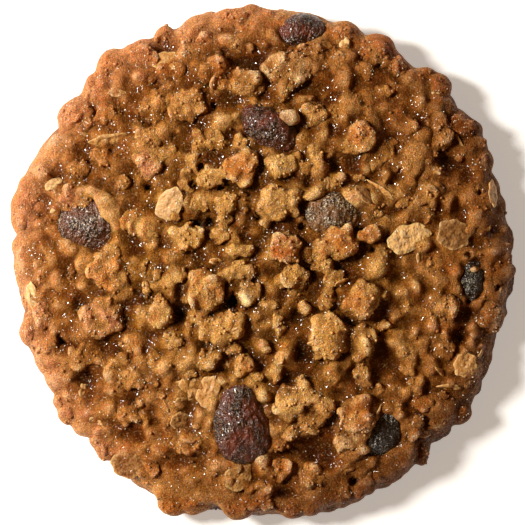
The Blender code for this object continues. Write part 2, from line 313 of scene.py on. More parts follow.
clumpStyle = {
    "voxel": 0.25,              # mm between surface points
    "smooths": 5,
    "rimGap": (0.4, 0.2),       # least distance to the rim: share of both half sizes, and a margin
    "rise": (1.1, 0.7),         # height of a clump: base and share of its smaller half size
    "flatFrom": (14, 34),       # clumps get lower between these distances from the middle
    "rimFlat": 0.42,            # share of their height that they lose
    "under": 0.9,               # the clumps stand on a floor this far under the dome
    "sink": 1.3,                # how far their cores go into it
    "core": 0.88,               # half sizes of the core as a share of the clump's
    "coreDepth": 1.7,           # and the number by which its height is divided
    "lumps": (3, 0.75),         # number of lumps: base and for each square mm of the half sizes
    "lumpTurn": 2.4,            # angle from one lump to the next, which spreads them evenly
    "lumpReach": (0.35, 0.72),  # how far out they sit
    "lumpShare": (0.42, 0.66),  # their size as a share of the clump's
    "lumpSize": (0.5, 1.9),     # and within these limits
    "lumpTilt": 0.7,
    "flakeFrom": 1.7,           # clumps from this size on may have a coated flake on top
    "flakeOdds": 0.6,
    "flake": (2.0, 1.5, 0.5),
    "flakeTilt": 0.6,
    "foot": (1.4, 0.3),         # the foot's half sizes: share of the clump's and a margin
    "footTop": 0.68,            # height of the foot as a share of the clump's
}

# clumps that stand taller than their neighbours: place and share of the usual height
nuggets = {
    (17, -27.5): 1.7, (15.5, -31.5): 1.4, (17.3, 22.3): 1.2, (33, -7.5): 1.25, (32, 22): 1.25,
    (29.5, 12.3): 1.2, (4.7, -25.5): 1.1, (19, 5.2): 1.2, (-20, 18): 1.15,
}

# deep holes between the clumps: x, y, radius
holes = [
    (-36, -14, 0.9), (-5.3, -6.9, 1.2), (7, 6.2, 0.8), (19.7, 2.2, 0.8), (6.7, 40.5, 0.9), (-8.6, 28, 0.7),
    (-1, 8, 0.8), (-12.4, 14, 0.8), (-11, 17.2, 0.7), (-11.8, 6.8, 1), (-9.3, 7.5, 0.9), (-20.5, 13.4, 0.7),
    (-40.9, -15.4, 0.5), (-40, -16.3, 0.4), (42.2, -4.3, 0.6), (16.5, -39.2, 0.9), (38.9, 12.5, 0.5),
    (-7.5, 13.3, 0.7), (20.7, -12.9, 0.4), (5.2, 42.4, 0.5), (5.6, 41.7, 0.4), (37, 1.2, 0.6), (37, -6.9, 0.6),
    (21, 35.2, 0.5),
]
# wider hollows of sticky dough, darkened by the painted shade of the low places: x, y, half sizes
hollows = [
    (-17.3, 38.7, 2.5, 2), (-6, 29.2, 1.8, 1.4), (-3.5, 27.8, 1.5, 1.2), (-3, 35.5, 1.6, 1.2),
    (29.7, 31.5, 0.9, 2.5), (33, 17.6, 3, 1.2), (-14.7, -9, 1.4, 2), (-31.3, -21, 1.6, 1.4),
    (-6.6, -19.5, 1.6, 1.4), (6.2, -9.8, 1.1, 1.6), (9, -33.5, 4.2, 2.2), (12, -36, 1.4, 1.2),
    (4.5, -41.5, 1.6, 1.2), (36, -10, 1.5, 1.8), (35.5, -13, 1.5, 1.5), (-33, -7.5, 0.9, 2), (24, -3, 1.2, 1),
    (12.7, 17.5, 1.3, 1.3), (21.8, -17.3, 2.3, 2.5), (7.5, -16, 1.6, 2.6), (-14.5, -5.5, 1, 1.6),
]
# dough lying over parts of the raisins: x, y, half sizes, turn, how far its top stands over the dome
laps = [
    (-27.6, 9.8, 3.4, 2.2, -50, 1.9), (-30.5, 12.6, 3, 1.6, 0, 1.9), (-25.8, 6.6, 1.3, 1.8, 0, 1.2),
    (16.6, 11.6, 2.4, 1.4, -35, 2), (9, 12.2, 2.2, 1.3, 25, 2), (4.6, 25.8, 2.2, 1.5, -20, 2.4),
    (17.6, -29.6, 2.6, 2.8, 0, 2.2), (17.8, -33.2, 1.6, 1.2, 0, 1.6), (5.4, 42.6, 2.4, 1.2, 0, 1.4),
    (0.2, -23.6, 1.5, 1.2, -30, 1.5), (37.9, -1.2, 1.2, 1, 0, 1.5),
]


def pullIn(row):
    # keeps a clump from standing out over the rim
    x, y, halfX, halfY, tone, *turn = row
    share, margin = clumpStyle["rimGap"]
    pull = min(1, (rimAt(x, y) - share * (halfX + halfY) - margin) / math.hypot(x, y))
    return x * pull, y * pull, halfX, halfY, turn[0] if turn else 0, tone


def clumpRise(row):
    # how far a clump stands over its floor: tall in the middle, spread flat towards the rim
    x, y, halfX, halfY = row[:4]
    flat = float(smoothStep(*clumpStyle["flatFrom"], math.hypot(x * 1.05, y * 0.95)))
    rise = clumpStyle["rise"][0] + clumpStyle["rise"][1] * min(halfX, halfY)
    return rise * (1 - clumpStyle["rimFlat"] * flat) * nuggets.get((x, y), 1)


def addClump(bm, row, chance):
    # a plump core with rounder lumps round its edge, and now and then a coated flake on top
    style = clumpStyle
    x, y, halfX, halfY, turn, tone = row
    floor = domeHeight(x, y) - style["under"]
    small = min(halfX, halfY)
    rise = clumpRise(row)
    spin = Matrix.Rotation(math.radians(turn), 2)
    core = (halfX * style["core"], halfY * style["core"], (rise + style["sink"]) / style["coreDepth"])
    addBlob(bm, (x, y, floor + rise - core[2]), core, (0, 0, math.radians(turn)))
    start = chance.uniform(0, 6.28)
    for index in range(round(style["lumps"][0] + style["lumps"][1] * halfX * halfY)):
        angle = start + style["lumpTurn"] * index
        reach = chance.uniform(*style["lumpReach"])
        spot = spin @ Vector((halfX * reach * math.cos(angle), halfY * reach * math.sin(angle)))
        size = max(small * chance.uniform(*style["lumpShare"]), style["lumpSize"][0])
        size = min(size, style["lumpSize"][1], 0.35 + rise * 0.8)
        height = floor + rise * (1 - 0.45 * reach * reach) - size * chance.uniform(0.55, 0.8)
        half = [size * chance.uniform(*limits) for limits in ((1.0, 1.5), (0.8, 1.1), (0.5, 0.8))]
        addBlob(bm, (x + spot.x, y + spot.y, height), half, randomTilt(chance, style["lumpTilt"]))
    if small > style["flakeFrom"] and chance.random() < style["flakeOdds"]:
        angle = chance.uniform(0, fullTurn)
        spot = spin @ Vector((halfX * 0.5 * math.cos(angle), halfY * 0.5 * math.sin(angle)))
        tilt = randomTilt(chance, style["flakeTilt"])
        addBlob(bm, (x + spot.x, y + spot.y, floor + rise * 0.85 - 0.3), style["flake"], tilt)


def addFoot(bm, row):
    # the wide low part with which a clump grows out of the dough
    x, y, halfX, halfY, turn, tone = row
    rise = clumpRise(row)
    depth = rise * 0.8 + 1
    share, margin = clumpStyle["foot"]
    spread = (halfX * share + margin, halfY * share + margin, depth)
    top = domeHeight(x, y) - clumpStyle["under"] + rise * clumpStyle["footTop"]
    addBlob(bm, (x, y, top - depth), spread, (0, 0, math.radians(turn)))


def buildClumps(name, rows, seed):
    bm = bmesh.new()
    chance = random.Random(seed)
    for row in rows:
        addClump(bm, row, chance)
    return fuse(name, bm, clumpStyle)


# coated flakes and bits between the listed clumps
fillerStyle = {
    "count": 900,
    "size": (0.7, 2.1),
    "smallPower": 1.4,       # above 1 makes small ones more common
    "slim": (0.45, 0.75),    # width as a share of the length
    "tones": ["tan", "gold", "orange", "red", "gold"],
    "clumpFrom": 1.75,       # larger ones join the clumps
    "seed": 16,
}


def scatterFillers():
    # evenly spread over the dome but clear of the raisins, the hollows and the holes
    chance = random.Random(fillerStyle["seed"])
    low, high = fillerStyle["size"]
    rows = []
    while len(rows) < fillerStyle["count"]:
        x, y = randomSpot(chance, 0.93)
        if overRaisin(x, y, 0.4) or any(math.hypot(x - h[0], y - h[1]) < h[2] + 1 for h in hollows + holes):
            continue
        half = low + (high - low) * chance.random() ** fillerStyle["smallPower"]
        tone = chance.choice(fillerStyle["tones"])
        rows.append((x, y, half, half * chance.uniform(*fillerStyle["slim"]), chance.uniform(0, 180), tone))
    return rows


# the baked dough under the clumps
doughStyle = {
    "voxel": 0.42,
    "smooths": 4,
    "drop": 0.4,              # valleys lie this far under the dome
    "lumps": 620,
    "lumpSize": (1.2, 2.6),
    "collar": 13,             # lumps round each raisin
    "collarSize": (0.9, 1.5),
    "rimLumps": 110,
    "rimLumpSize": (1.6, 3.2),
    "rimLumpHeight": (1.8, 5.4),
    "seed": 23,
}


def addCrown(bm):
    # the plain dome, turned from its section and then pulled out to the rim in every direction
    steps = 30
    profile = []
    for step in range(steps + 1):
        share = dome["shoulderShare"] * step / steps
        profile.append((share, crownHeight(share) - doughStyle["drop"]))
    profile += [(share - 0.012, max(height - doughStyle["drop"] * 0.5, 0)) for share, height in dome["edge"]]
    verts = [bm.verts.new((share, 0, height)) for share, height in profile + [(0, 0)]]
    edges = [bm.edges.new(pair) for pair in zip(verts, verts[1:])]
    bmesh.ops.spin(
        bm, geom=verts + edges, cent=(0, 0, 0), axis=(0, 0, 1), angle=fullTurn, steps=180, use_merge=True)
    bmesh.ops.remove_doubles(bm, verts=bm.verts, dist=1e-4)
    bmesh.ops.recalc_face_normals(bm, faces=bm.faces)
    for vert in bm.verts:
        reach = rimAt(vert.co.x, vert.co.y)
        vert.co.x *= reach
        vert.co.y *= reach


def addDoughLumps(bm, chance):
    for _ in range(doughStyle["lumps"]):
        x, y = randomSpot(chance, 0.9)
        size = chance.uniform(*doughStyle["lumpSize"])
        if overRaisin(x, y, size * 0.5) or any(math.hypot(x - h[0], y - h[1]) < h[2] + size for h in hollows):
            continue
        height = domeHeight(x, y) - doughStyle["drop"] - size * chance.uniform(0.1, 0.6)
        half = [size * chance.uniform(*limits) for limits in ((0.7, 1.2), (0.7, 1.2), (0.6, 0.9))]
        addBlob(bm, (x, y, height), half, (0, 0, chance.uniform(0, 3.1)))


def addBits(bm, rows, chance):
    for x, y, halfX, halfY, turn, tone in rows:
        thick = chance.uniform(0.45, 0.8)
        height = domeHeight(x, y) - doughStyle["drop"] + chance.uniform(0.3, 0.9) - thick
        tilt = (chance.uniform(-0.6, 0.6), chance.uniform(-0.4, 0.4), math.radians(turn))
        addBlob(bm, (x, y, height), (halfX, halfY, thick), tilt)


def addCollars(bm, chance):
    # the dough laps over the raisins' edges
    count = doughStyle["collar"]
    for one in raisins.values():
        spin = Matrix.Rotation(math.radians(one["turn"]), 2)
        for step in range(count):
            angle = fullTurn * (step + chance.uniform(0, 0.7)) / count
            size = chance.uniform(*doughStyle["collarSize"])
            reach = chance.uniform(1.0, 1.14)
            halfX, halfY, _ = one["half"]
            spot = spin @ Vector((halfX * reach * math.cos(angle), halfY * reach * math.sin(angle)))
            x, y = one["place"][0] + spot.x, one["place"][1] + spot.y
            if math.hypot(x, y) > rimAt(x, y) - 1.5:
                continue
            height = domeHeight(x, y) - size * 0.5
            addBlob(bm, (x, y, height), (size * chance.uniform(0.8, 1.5), size, size), (0, 0, angle + 1.6))


def addRimLumps(bm, chance):
    for _ in range(doughStyle["rimLumps"]):
        angle = chance.uniform(0, fullTurn)
        height = chance.uniform(*doughStyle["rimLumpHeight"])
        size = chance.uniform(*doughStyle["rimLumpSize"])
        reach = float(rimRadius(angle)) * (1.0 if height < 4 else 0.975) - size * chance.uniform(0.92, 1.04)
        half = (size, size * chance.uniform(0.9, 1.7), size * chance.uniform(0.6, 0.9))
        spot = (reach * math.cos(angle), reach * math.sin(angle), max(height, size * 0.7))
        addBlob(bm, spot, half, (0, 0, angle))


def buildDough(rows, fillers):
    bm = bmesh.new()
    chance = random.Random(doughStyle["seed"])
    addCrown(bm)
    addDoughLumps(bm, chance)
    for row in rows:
        addFoot(bm, row)
    addBits(bm, fillers, chance)
    for x, y, halfX, halfY, turn, stand in laps:
        half = (halfX, halfY, 1.4)
        addBlob(bm, (x, y, domeHeight(x, y) + stand - half[2]), half, (0, 0, math.radians(turn)))
    addCollars(bm, chance)
    addRimLumps(bm, chance)
    return fuse("baked_dough", bm, doughStyle)


# unevenness pushed into the finished skins: feature size and depth in mm
roughness = {
    "dough": [(4.6, 0.4), (2.6, 0.22), (1.2, 0.09)],
    "clumps": [(2.6, 0.25), (1.3, 0.1), (0.6, 0.05)],
    "calm": 0.55,            # share of it that the edge loses
    "calmFrom": (39, 44),    # between these distances from the middle
    "base": 0.15,            # share of it that the flat base keeps
}


def roughen(piece, steps, seed):
    places, normals = readMesh(piece.data)
    push = np.zeros(len(places))
    for index, (size, depth) in enumerate(steps):
        push += depth * noiseField(places, size, seed + index)
    push *= 1 - roughness["calm"] * smoothStep(*roughness["calmFrom"], np.hypot(places[:, 0], places[:, 1]))
    push[places[:, 2] < 0.35] *= roughness["base"]
    places += normals * push[:, None]
    places[:, 2] = np.maximum(places[:, 2], 0)
    writeMesh(piece.data, places)


# where the rim is broken in or bulges out: direction in degrees, depth in mm, half width in degrees
rimNotches = [
    (54, 2.3, 4.5), (64, 1.0, 4), (36, 1.0, 3), (96, 1.2, 3.5), (118, 1.2, 5), (140, 1.4, 8), (192, 0.9, 4),
    (228, 1.4, 3), (258, 1.1, 4), (312, 0.9, 3), (6, -0.8, 9), (30, -0.8, 3.5), (222, -0.9, 3),
]


def drawInEdge(piece):
    places, _ = readMesh(piece.data)
    angles = np.arctan2(places[:, 1], places[:, 0])
    reach = np.hypot(places[:, 0], places[:, 1])
    pull = np.zeros(len(places))
    for direction, depth, width in rimNotches:
        away = (np.degrees(angles) - direction + 180) % 360 - 180
        pull += depth * np.exp(-(away / width) ** 2)
    pull *= smoothStep(0.82, 1, reach / rimRadius(angles))
    places[:, :2] *= (1 - pull / np.maximum(reach, 1))[:, None]
    writeMesh(piece.data, places)


pitStyle = {
    "depth": 2.0,               # of a hole 1 mm or more in radius
    "ragged": (1.1, 0.35),      # its outline's unevenness: size in mm and share of the radius
    "hollowDepth": (1.2, 0.6),  # of a hollow: limit in mm and share of its smaller half size
    "hollowSpread": 1.3,
}


def holeReach(places, hole):
    # distance from a hole's middle as a share of its radius, with an uneven outline
    x, y, radius = hole
    away = np.hypot(places[:, 0] - x, places[:, 1] - y) / radius
    near = away < 3
    size, share = pitStyle["ragged"]
    away[near] *= 1 + share * noiseField(places[near], size, 14)
    return away


def sinkBowl(places, normals, reach, depth):
    # a round bowl in the top surface, out to a reach of 1
    inside = (reach < 1) & (places[:, 2] > 4) & (normals[:, 2] > -0.2)
    places[inside, 2] -= depth * (1 - reach[inside] ** 2)


def sinkHoles(piece):
    places, normals = readMesh(piece.data)
    for hole in holes:
        sinkBowl(places, normals, holeReach(places, hole), pitStyle["depth"] * min(1, hole[2]))
    most, share = pitStyle["hollowDepth"]
    spread = pitStyle["hollowSpread"]
    for x, y, halfX, halfY in hollows:
        reach = np.hypot((places[:, 0] - x) / (halfX * spread), (places[:, 1] - y) / (halfY * spread))
        sinkBowl(places, normals, reach, min(most, share * min(halfX, halfY)))
    writeMesh(piece.data, places)


# colour laid into the surface points
palette = {
    "valley": "#8C5014",       # sticky dough between the clumps
    "valleyLight": "#B0782E",
    # painted shade for the crevices
    "crevice": "#4E2808",
    "crumb": "#C8985A",        # paler sides of the clumps
    # painted highlight for the raised crests
    "crestHighlight": "#EED2AA",
    "rim": "#94521A",
    # painted light for the lit far left rim, painted shade for the shaded near right rim
    "rimPaintedLight": "#C08058",
    "rimPaintedShade": "#5E300A",
    "base": "#8C5424",
}

# heights of the top surface on a square grid round the middle, in mm
reliefStyle = {
    "cell": 0.5,
    "width": 100,
    "blurs": (2.6, 1.1),   # one average tells clumps from valleys, the other tells lumps from clefts
}


def reliefCells(places):
    # line and column of the grid under each place
    cell, width = reliefStyle["cell"], reliefStyle["width"]
    last = int(width / cell) - 1
    return [np.clip(((places[:, axis] + width / 2) / cell).astype(int), 0, last) for axis in (1, 0)]


def blur(grid, radius):
    steps = np.arange(-int(radius * 3), int(radius * 3) + 1)
    weights = np.exp(-0.5 * (steps / radius) ** 2)
    weights /= weights.sum()
    for axis in (0, 1):
        total = np.zeros_like(grid)
        for step, weight in zip(steps, weights):
            total += np.roll(grid, step, axis) * weight
        grid = total
    return grid


def measureRelief(pieces):
    size = int(reliefStyle["width"] / reliefStyle["cell"])
    heights = np.zeros((size, size))
    for piece in pieces:
        places, _ = readMesh(piece.data)
        np.maximum.at(heights, tuple(reliefCells(places)), places[:, 2])
    return [blur(heights, radius / reliefStyle["cell"]) for radius in reliefStyle["blurs"]]


def colourOf(name):
    return np.array(linear(palette[name])[:3])


def blend(base, other, share):
    other = colourOf(other) if isinstance(other, str) else other
    return base + (other - base) * share[:, None]


def toastTones(places, rows):
    # the tone of the clumps round each place, and how near the nearest one is
    total = np.zeros((len(places), 3))
    weights = np.full(len(places), 1e-6)
    closeness = np.zeros(len(places))
    warp = np.c_[noiseField(places, 2.2, 5), noiseField(places, 2.2, 6)] * 0.5
    for x, y, halfX, halfY, turn, tone in rows:
        near = (np.abs(places[:, 0] - x) < halfX + 2) & (np.abs(places[:, 1] - y) < halfY + 2)
        away = places[near, :2] + warp[near] - (x, y)
        reach = np.hypot(away[:, 0] / halfX, away[:, 1] / halfY)
        weight = np.exp(-1.4 * reach ** 2) * halfX * halfX + 1e-4
        total[near] += np.array(linear(tones[tone])[:3]) * weight[:, None]
        weights[near] += weight
        closeness[near] = np.maximum(closeness[near], smoothStep(1.5, 0.8, reach))
    return total / weights[:, None], closeness


def crustTint(places, rows, lift, isDough):
    # tops toasted in the tone of their clump, sides paler, the dough between them browner
    toasted, closeness = toastTones(places, rows)
    light = smoothStep(-0.7, 0.7, noiseField(places, 3.0, 8) + 0.4 * noiseField(places, 1.0, 9))
    low = smoothStep(0.9, -0.9, lift + 0.3 * noiseField(places, 1.3, 10)) * (1 if isDough else 0.7)
    patches = 0.7 * noiseField(places, 3.4, 15) + 0.4 * noiseField(places, 1.4, 3)
    toast = smoothStep(-0.2, 1.4, lift + patches) * closeness
    tint = blend(colourOf("crumb"), blend(colourOf("valley"), "valleyLight", light), low)
    return blend(tint, toasted, toast)


def tintPiece(piece, rows, relief, isDough):
    # left rim paler and pinker (painted light), right rim darker (painted shade), crevices near black brown and
    # clefts, low places and holes darker (painted shade), crests paler (painted highlight), base evenly browned
    places, normals = readMesh(piece.data)
    x, y, z = places.T
    lift, fine = (z - grid[tuple(reliefCells(places))] for grid in relief)
    reach = np.hypot(x, y)
    rim = smoothStep(37, 44, reach)
    side = x * 0.86 - y * 0.35   # grows from the lit far left to the shaded near right
    top = (z > 2.5) * smoothStep(46, 41, reach)
    deep = smoothStep(-0.7, -2.2, lift) * top
    tint = crustTint(places, rows, lift, isDough)
    tint = blend(tint, "rim", smoothStep(22, 40, reach) * 0.5)
    # painted light: the far left rim, which faces the lamp, paler and pinker
    tint = blend(tint, "rimPaintedLight", rim * smoothStep(0, -30, side) * 0.5)
    # painted shade: the near right rim, away from the lamp, darker
    tint = blend(tint, "rimPaintedShade", rim * smoothStep(-5, 30, side) * 0.75)
    # painted shade: the crevices near black brown
    tint = blend(tint, "crevice", deep * 0.85)
    # painted highlight: cream on the raised lumps of the top
    tint = blend(tint, "crestHighlight", smoothStep(0.1, 1.1, fine + 0.2 * noiseField(places, 0.9, 12)) * top * 0.5)
    # painted shade in the clefts between lumps, a little painted light on the lumps
    tint = tint * (0.8 + 0.28 * smoothStep(-0.6, 0.4, fine))[:, None]
    # painted shade: the low places darker than the tops
    tint = 0.97 * tint ** 1.07 * (0.62 + 0.42 * smoothStep(-1.2, 0.7, lift))[:, None]
    tint[:, 1] *= 1 + 0.02 * smoothStep(30, 18, reach)   # butter yellow in the middle
    # painted shade, partly thicker syrup: the low places darker and redder
    tint = tint ** (1 + 0.34 * smoothStep(0.7, -1.2, lift) * top)[:, None]
    pit = np.zeros(len(places))
    for hole in holes:
        pit = np.maximum(pit, smoothStep(0.95, 0.4, holeReach(places, hole)))
    # painted shade: the holes darker
    tint = tint * (1 - 0.25 * pit * (z > 3))[:, None]
    tint = blend(tint, "base", smoothStep(1.0, 0.2, z))
    # the low places are wet with syrup, the steep sides and the base are not
    gloss = 0.3 + 0.7 * smoothStep(0.6, -0.8, lift)
    gloss = gloss * smoothStep(0.05, 0.5, normals[:, 2]) * smoothStep(2, 4, z)
    # the tint holds the dough's own colours with the painted light and shade laid in above
    writeAttribute(piece.data, "tint", np.clip(tint, 0, 1))
    writeAttribute(piece.data, "crevice", np.maximum(deep, pit))
    writeAttribute(piece.data, "gloss", gloss)


def feed(node, inputs):
    # sets or links inputs: a list in their order, a dictionary by name or number; a node means its first output
    for key, value in inputs.items() if isinstance(inputs, dict) else enumerate(inputs):
        if isinstance(value, bpy.types.Node):
            value = value.outputs[0]
        if isinstance(value, bpy.types.NodeSocket):
            node.id_data.links.new(value, node.inputs[key])
        else:
            node.inputs[key].default_value = value


def addNode(tree, kind, inputs=(), stops=(), **settings):
    node = tree.nodes.new("ShaderNode" + kind)
    for name, value in settings.items():
        setattr(node, name, value)
    feed(node, inputs)
    for stop, (position, colour) in zip(node.color_ramp.elements if stops else (), stops):
        stop.position = position
        stop.color = linear(colour)
    return node


def perMm(size):
    # texture scale for features of a size in mm
    return 1 / (size * mm)


def newMaterial(name):
    material = bpy.data.materials.new(name)
    material.use_nodes = True
    material.node_tree.nodes.clear()
    add = partial(addNode, material.node_tree)
    shader = add("BsdfPrincipled")
    add("OutputMaterial", {"Surface": shader})
    return material, add, shader


# melted sugar: small facets, each with its own slope, a few of which flash
sparkle = {
    "facet": 0.2,     # mm
    "patch": 0.5,     # the sugar melted in patches of this size in mm
    "roughness": 0.1,
}


def addSparkle(add, shader, place, spread, weight):
    cells = add("TexVoronoi", {"Vector": place, "Scale": perMm(sparkle["facet"])})
    slope = add("VectorMath", [cells.outputs["Color"], (0.5, 0.5, 0.5)], operation="SUBTRACT")
    wide = add("VectorMath", {0: slope, "Scale": spread}, operation="SCALE")
    facing = add("NewGeometry").outputs["Normal"]
    leaning = add("VectorMath", [facing, wide], operation="ADD")
    facet = add("VectorMath", [leaning], operation="NORMALIZE")
    patch = add("TexNoise", {"Vector": place, "Scale": perMm(sparkle["patch"]), "Detail": 1.0})
    spots = add("MapRange", [patch, 0.48, 0.56, 0.1, 1.0])
    coat = add("Math", [spots, weight], operation="MULTIPLY")
    feed(shader, {"Coat Weight": coat, "Coat Roughness": sparkle["roughness"], "Coat Normal": facet})


# sizes of the dough's textures in mm
doughGrain = {
    "mottle": 1.8,
    "grain": 0.24,
    "grit": 0.55,
    "oats": 0.4,
    # size of the painted glints
    "paintedGlints": 0.16,
    "pores": 1.4,
    "porePatches": 4,
    "gritDepth": 0.18,
    "grainDepth": 0.5,
}


def bakedDoughMaterial():
    # baked oat dough: butter and brown sugar, grainy, a little translucent, glossy where the sugar melted
    material, add, shader = newMaterial("baked oat dough")
    place = add("TexCoord").outputs["Object"]
    # the tint carries the painted light and shade laid into the surface points
    tint = add("Attribute", attribute_name="tint").outputs["Color"]
    sunk = add("Attribute", attribute_name="crevice").outputs["Fac"]
    gloss = add("Attribute", attribute_name="gloss").outputs["Fac"]
    scale = {name: perMm(size) for name, size in doughGrain.items()}
    mottle = add("TexNoise", {"Vector": place, "Scale": scale["mottle"], "Detail": 3.0})
    grain = add("TexNoise", {"Vector": place, "Scale": scale["grain"], "Detail": 2.0, "Roughness": 0.65})
    grit = add("TexVoronoi", {"Vector": place, "Scale": scale["grit"]}, feature="SMOOTH_F1")
    paintedGlints = add("TexNoise", {"Vector": place, "Scale": scale["paintedGlints"], "Detail": 1.0})
    # brightness: broad mottle, fine grain, painted glints on the crumb and darker grit
    bright = add("MapRange", [mottle, 0.3, 0.7, -0.14, 0.14])
    for part in (
        [grain, 0.34, 0.66, 0.62, 1.44],
        [paintedGlints, 0.58, 0.7, 0.0, 1.1],
        [grit, 0.1, 0.6, 0.1, -0.14],
    ):
        more = add("MapRange", part)
        bright = add("Math", [bright, more], operation="ADD")
    lit = add("VectorMath", {0: tint, "Scale": bright}, operation="SCALE")
    # pale grains of oat and sugar that were baked into the crust
    oats = add("TexNoise", {"Vector": place, "Scale": scale["oats"], "Detail": 1.0})
    oatMask = add("MapRange", [oats, 0.6, 0.72, 0.0, 0.3])
    grainy = add("Mix", {"Factor": oatMask, 6: lit, 7: linear("#D8AC74")}, data_type="RGBA")
    # a few pores left by steam, a quarter of a millimetre wide, in patches, painted dark as the shade inside
    # them
    pore = add("TexVoronoi", {"Vector": place, "Scale": scale["pores"]})
    patch = add("TexNoise", {"Vector": place, "Scale": scale["porePatches"], "Detail": 1.0})
    width = add("MapRange", [patch, 0.46, 0.66, 0.0, 0.1])
    poreShadeMask = add("MapRange", [pore, 0.0, width, 0.38, 0.0])
    porous = add("Mix", {"Factor": poreShadeMask, 6: grainy.outputs[2], 7: linear("#4A2208")}, data_type="RGBA")
    rough = add("MapRange", [sunk, 0.0, 0.6, 0.55, 0.35])
    bumpGrit = add(
        "Bump", {"Height": grit, "Strength": 1.0, "Distance": doughGrain["gritDepth"] * mm},
        invert=True)
    bumpGrain = add("Bump", {
        "Height": grain, "Strength": 1.0, "Distance": doughGrain["grainDepth"] * mm,
        "Normal": bumpGrit,
    })
    feed(shader, {
        "Base Color": porous.outputs[2], "Roughness": rough, "Normal": bumpGrain,
        "Specular IOR Level": 0.14, "Specular Tint": linear("#FFC890"), "IOR": 1.42, "Subsurface Weight": 0.5,
        "Subsurface Radius": (1.0, 0.38, 0.1), "Subsurface Scale": 1.1 * mm,
    })
    wet = add("Math", [gloss, 0.85], operation="MULTIPLY")
    addSparkle(add, shader, place, 0.85, wet)
    return material


def oatMaterial():
    # rolled oat flake: papery, coated with a film of dough, with a paler cut edge
    material, add, shader = newMaterial("rolled oat flake")
    place = add("TexCoord").outputs["Object"]
    edge = add("Attribute", attribute_name="edge").outputs["Fac"]
    tint = add("Attribute", attribute_name="tint").outputs["Color"]
    speck = add("TexNoise", {"Vector": place, "Scale": perMm(0.4), "Detail": 3.0})
    patch = add("TexNoise", {"Vector": place, "Scale": perMm(1.3), "Detail": 2.0})
    vary = add("MapRange", [speck, 0.3, 0.7, 1.3, 0.75])
    film = add("MapRange", [patch, 0.35, 0.65, 0.3, -0.15])
    depth = add("Math", [vary, film], operation="ADD")
    batter = add("MapRange", [patch, 0.46, 0.6, 0.0, 0.65])
    coated = add("Mix", {"Factor": batter, 6: tint, 7: linear("#A4703A")}, data_type="RGBA")
    face = add("Gamma", [coated.outputs[2], depth])
    pale = add("MapRange", [edge, 0.8, 0.97, 0.0, 0.6])
    colour = add("Mix", {"Factor": pale, 6: face, 7: linear("#DDB070")}, data_type="RGBA")
    bumpPatch = add("Bump", {"Height": patch, "Strength": 1.0, "Distance": 0.5 * mm})
    bump = add("Bump", {"Height": speck, "Strength": 1.0, "Distance": 0.2 * mm, "Normal": bumpPatch})
    feed(shader, {
        "Base Color": colour.outputs[2], "Roughness": 0.5, "IOR": 1.42, "Subsurface Weight": 0.3,
        "Subsurface Radius": (1.0, 0.5, 0.2), "Subsurface Scale": 0.8 * mm, "Normal": bump,
    })
    addSparkle(add, shader, place, 0.9, 0.3)
    return material


def sugarMaterial():
    # loose sugar crystals: clear grains that read as white sparks
    material, add, shader = newMaterial("sugar crystal")
    feed(shader, {"Base Color": linear("#E6D2B4"), "Roughness": 0.1, "IOR": 1.54})
    return material


def crumbMaterial():
    # loose toasted crumbs of the same dough
    material, add, shader = newMaterial("toasted crumb")
    tint = add("Attribute", attribute_name="tint").outputs["Color"]
    feed(shader, {"Base Color": tint, "Roughness": 0.5, "IOR": 1.42})
    return material


# raisin skins: darkest and lightest brown, flour and sugar dust, share of dust, gloss
skins = {
    # the left raisin's pale dust, laid on thick, is partly a painted highlight
    "dustAndHighlight": {"dark": "#24120A", "light": "#6E3E24", "dust": "#C8AA8C", "amount": 0.75, "gloss": 0.6},
    "front": {"dark": "#1C0D07", "light": "#682C12", "dust": "#AC8058", "amount": 0.42, "gloss": 0.6},
    "black": {"dark": "#0E0A06", "light": "#2E1C0E", "dust": "#9C9078", "amount": 0.75, "gloss": 0.6},
    # the middle raisin's dense pale dust is partly painted glints
    "glazeAndGlints": {"dark": "#2E1A0C", "light": "#86592E", "dust": "#D2BC94", "amount": 0.9, "gloss": 0.4},
}


def raisinMaterial(name, style):
    # dried grape: a dark, slightly sticky skin with fine wrinkles and a dusting of flour and sugar
    material, add, shader = newMaterial(name)
    place = add("TexCoord").outputs["Object"]
    patch = add("TexNoise", {"Vector": place, "Scale": perMm(3), "Detail": 3.0})
    skin = add("ValToRGB", [patch], [(0.38, style["dark"]), (0.68, style["light"])])
    dust = add("TexNoise", {"Vector": place, "Scale": perMm(0.32), "Detail": 2.0, "Roughness": 0.6})
    bare = add("MapRange", [patch, 0.6, 0.4, 0.62, 0.5])   # the darker, the dustier
    full = add("Math", [bare, 0.12], operation="ADD")
    dustMask = add("MapRange", [dust, bare, full, 0.0, style["amount"]])
    colour = add("Mix", {"Factor": dustMask, 6: skin, 7: linear(style["dust"])}, data_type="RGBA")
    fold = add("TexNoise", {"Vector": place, "Scale": perMm(1.1), "Detail": 2.0})
    bumpFold = add("Bump", {"Height": fold, "Strength": 1.0, "Distance": 0.9 * mm})
    bump = add("Bump", {"Height": dust, "Strength": 1.0, "Distance": 0.3 * mm, "Normal": bumpFold})
    feed(shader, {
        "Base Color": colour.outputs[2], "Roughness": 0.24, "Subsurface Weight": 0.15,
        "Subsurface Radius": (1.0, 0.25, 0.1), "Subsurface Scale": 0.8 * mm, "Normal": bump,
    })
    addSparkle(add, shader, place, 0.9, style["gloss"])
    return material


raisinStyle = {
    "deeper": 0.6,             # all raisins lie this much further down
    "wrinkle": (1.6, 3.0, 2.0),   # spacing of the wrinkles in mm, longest along the raisin
    "crinkle": (0.8, 1.6, 1.0),   # and of the small ones
    "wrinkleDepth": 0.17,
    "crinkleDepth": 0.12,
    "lump": (5, 0.7),          # size and depth in mm of its dents and bulges
}


